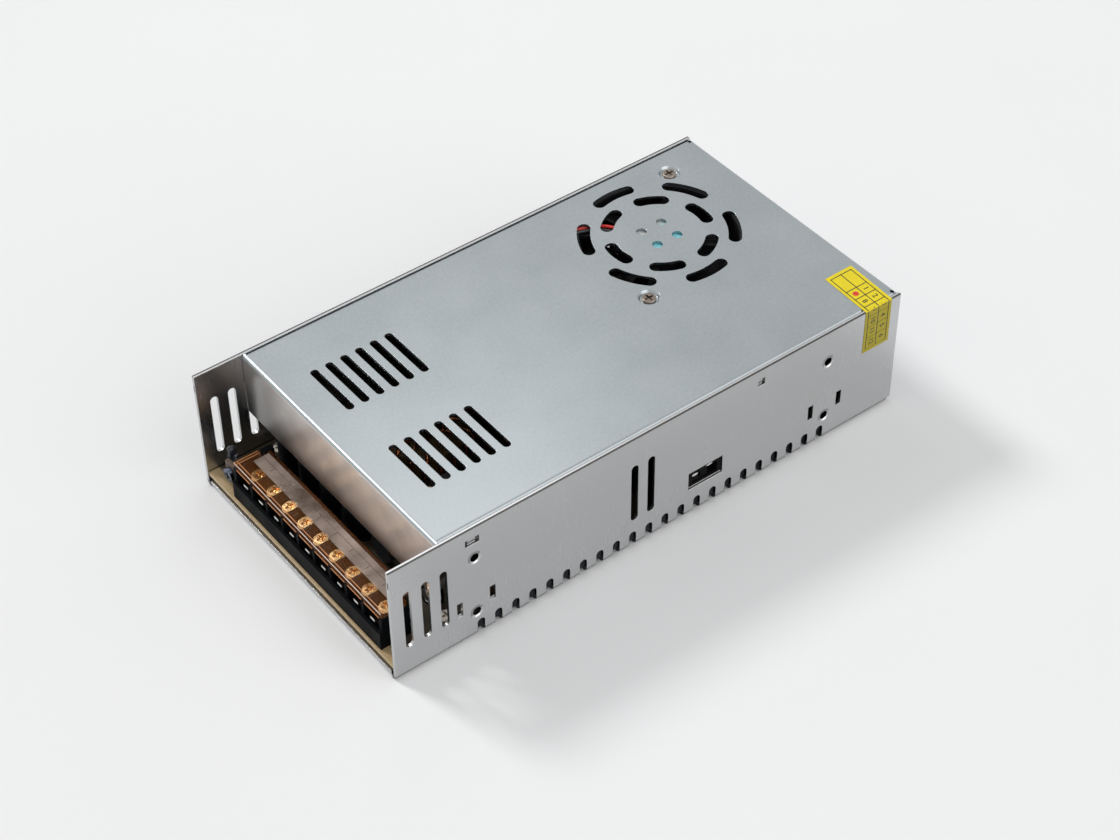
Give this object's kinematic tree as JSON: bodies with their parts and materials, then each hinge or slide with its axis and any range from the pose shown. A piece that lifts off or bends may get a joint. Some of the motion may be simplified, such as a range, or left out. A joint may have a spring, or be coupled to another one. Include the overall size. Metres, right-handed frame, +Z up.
{
  "type": "mesh case switching power supply",
  "caption": "Enclosed switching power supply in a slotted sheet-metal case, with a top fan and a covered screw terminal block in an open front bay.",
  "frame": {"origin": "centre of the case's underside", "axes": "+Z up, -Y towards the terminal end, +X towards the wall with the voltage selector"},
  "size_m": [0.1151, 0.215, 0.0501],
  "materials": {
    "case_sheet": "satin",
    "cover_sheet": "brushed",
    "zinc_screw": "satin",
    "film": "smooth",
    "board": "satin",
    "black_moulding": "satin",
    "plated_brass": "satin",
    "amber_cover": "clear",
    "lamp_lens": "clear",
    "ceramic": "matte",
    "white_plastic": "satin",
    "slider_plastic": "satin",
    "fan_black": "satin",
    "fan_label": "satin",
    "stator": "rough",
    "label_yellow": "satin",
    "wire_red": "satin",
    "wire_black": "satin",
    "sleeve": "satin",
    "ferrite": "matte",
    "yellow_core": "matte",
    "copper": "enamelled",
    "tape": "satin",
    "glass": "clear",
    "heatsink": "satin",
    "package": "matte",
    "beige": "satin",
    "disc_coating": "satin",
    "trimmer_metal": "satin"
  },
  "bodies": {
    "case": {"chassis": "case_sheet", "top_cover": "cover_sheet", "cover_screws": "zinc_screw", "insulation_sheet": "film", "board_standoffs": "zinc_screw", "main_board": "board", "board_screws": "zinc_screw", "terminal_block": "black_moulding", "terminal_plates": "plated_brass", "terminal_clamps": "plated_brass", "terminal_screws": "zinc_screw", "indicator_lamp": "lamp_lens", "trimmer_body": "ceramic", "selector_body": "black_moulding", "fan_frame": "fan_black", "fan_screws": "zinc_screw", "fan_label": "fan_label", "fan_stator": "stator", "fan_header": "white_plastic", "fan_plug": "white_plastic", "fan_lead_red": "wire_red", "fan_lead_black": "wire_black", "date_label": "label_yellow", "bulk_capacitors": "sleeve", "output_capacitors": "sleeve", "small_capacitors": "sleeve", "output_choke_core": "yellow_core", "output_choke_winding": "copper", "main_transformer_core": "ferrite", "main_transformer_coil": "tape", "main_transformer_bobbin": "black_moulding", "driver_transformer_core": "ferrite", "driver_transformer_coil": "tape", "driver_transformer_bobbin": "black_moulding", "line_filter_core": "ferrite", "line_filter_coils": "copper", "film_capacitor": "beige", "disc_capacitors": "disc_coating", "inrush_thermistor": "package", "fuse": "glass", "fuse_clips": "plated_brass", "bridge_rectifier": "package", "primary_heatsink": "heatsink", "output_heatsink": "heatsink", "switching_transistors": "package", "output_rectifiers": "package", "device_screws": "zinc_screw", "control_chip": "package", "optocoupler": "package", "resistors": "beige"},
    "fan_rotor_body": {"fan_rotor": "fan_black"},
    "terminal_cover_body": {"terminal_cover": "amber_cover"},
    "selector_slider_body": {"selector_slider": "slider_plastic"},
    "trimmer_disc_body": {"trimmer_disc": "trimmer_metal"}
  },
  "joints": [
    {"name": "fan_spin", "type": "hinge", "parent": "case", "child": "fan_rotor_body", "pos_m": [-0.0198, 0.0631, 0.04], "axis": [0, 0, 1], "continuous": true},
    {"name": "terminal_cover_swing", "type": "hinge", "parent": "case", "child": "terminal_cover_body", "pos_m": [0.0038, -0.0925, 0.02], "axis": [-1, 0, 0], "range_deg": [0, 95]},
    {"name": "selector_slide", "type": "slide", "parent": "case", "child": "selector_slider_body", "axis": [0, 1, 0], "range_m": [0, 0.004]},
    {"name": "trimmer_turn", "type": "hinge", "parent": "case", "child": "trimmer_disc_body", "pos_m": [-0.0465, -0.1035, 0.0104], "axis": [0, -1, 0], "range_deg": [-135, 135]}
  ]
}
